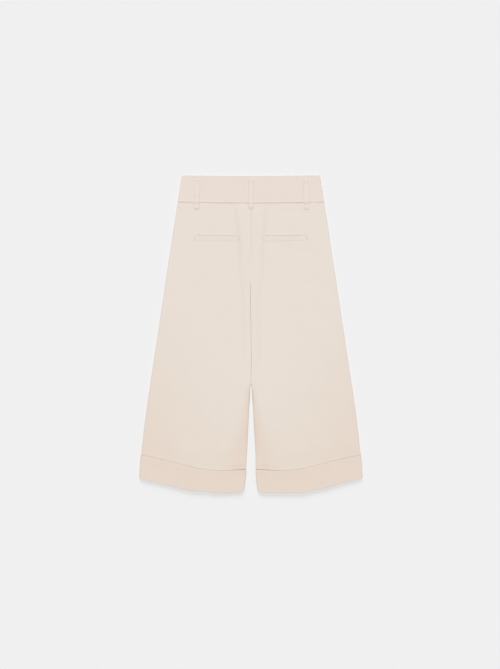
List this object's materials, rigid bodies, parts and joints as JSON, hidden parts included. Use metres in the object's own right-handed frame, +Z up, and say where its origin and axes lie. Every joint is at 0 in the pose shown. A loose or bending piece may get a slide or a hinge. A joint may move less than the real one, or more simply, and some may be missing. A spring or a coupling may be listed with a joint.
{
  "type": "culottes",
  "caption": "Wide-leg cropped culottes laid flat, back up, with a deep waistband, belt loops, welt back pockets and turned-up cuffs.",
  "frame": {"origin": "on the surface that the culottes lie on, under the middle of their bounding box", "axes": "+Z up, away from that surface, out of the back of the garment; +Y up the garment to the waist; +X to the viewer's right when the back is seen, which is the wearer's right"},
  "size_m": [0.5574, 0.791, 0.0077],
  "materials": {
    "suiting": "matt pale beige plain-weave suiting"
  },
  "bodies": {
    "root": {"back_left": "suiting", "back_right": "suiting", "front_left": "suiting", "front_right": "suiting", "waistband_back": "suiting", "waistband_front_left": "suiting", "waistband_front_right": "suiting", "cuff_back_left": "suiting", "cuff_back_right": "suiting", "cuff_front_left": "suiting", "cuff_front_right": "suiting", "pocket_welt_left": "suiting", "pocket_welt_right": "suiting", "belt_loop_left": "suiting", "belt_loop_centre": "suiting", "belt_loop_right": "suiting"}
  },
  "joints": []
}
